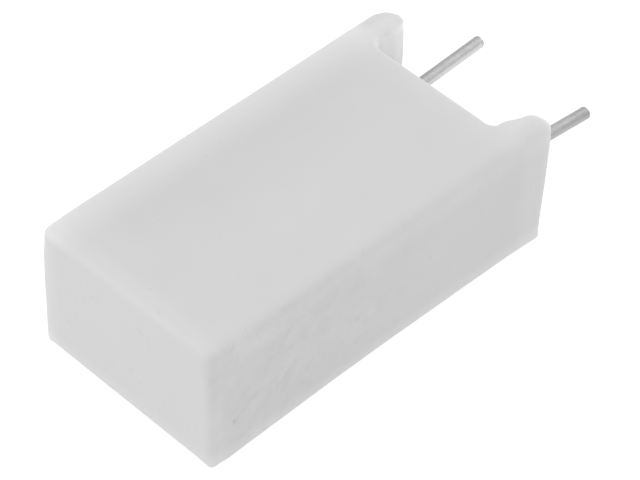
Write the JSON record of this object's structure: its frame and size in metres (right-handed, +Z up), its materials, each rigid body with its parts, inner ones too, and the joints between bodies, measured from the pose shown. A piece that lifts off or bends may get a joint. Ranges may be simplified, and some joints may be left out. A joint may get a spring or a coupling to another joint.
{
  "type": "metal film resistor",
  "caption": "White ceramic-cased film resistor filled with cement, a closed end at one side and two tinned wire leads between standoff feet at the other.",
  "frame": {"origin": "under the middle of the whole part, leads included, on the surface that the wide face lies on", "axes": "+X along the length from the closed end to the leads, +Y across the width, +Z up through the thickness"},
  "size_m": [0.031, 0.013, 0.0087],
  "materials": {
    "case_ceramic": "matt unglazed white ceramic with a fine grain",
    "cement": "rough set cement, light grey",
    "rod_ceramic": "smooth ground ceramic",
    "film": "dark grey-brown deposited metal film",
    "cap_metal": "plated steel, satin",
    "tinned_wire": "tinned copper wire, satin grey"
  },
  "bodies": {
    "root": {"ceramic_case": "case_ceramic", "cement_fill": "cement", "core_rod": "rod_ceramic", "resistive_film": "film", "blind_end_cap": "cap_metal", "lead_end_cap": "cap_metal", "straight_lead": "tinned_wire", "return_lead": "tinned_wire"}
  },
  "joints": []
}
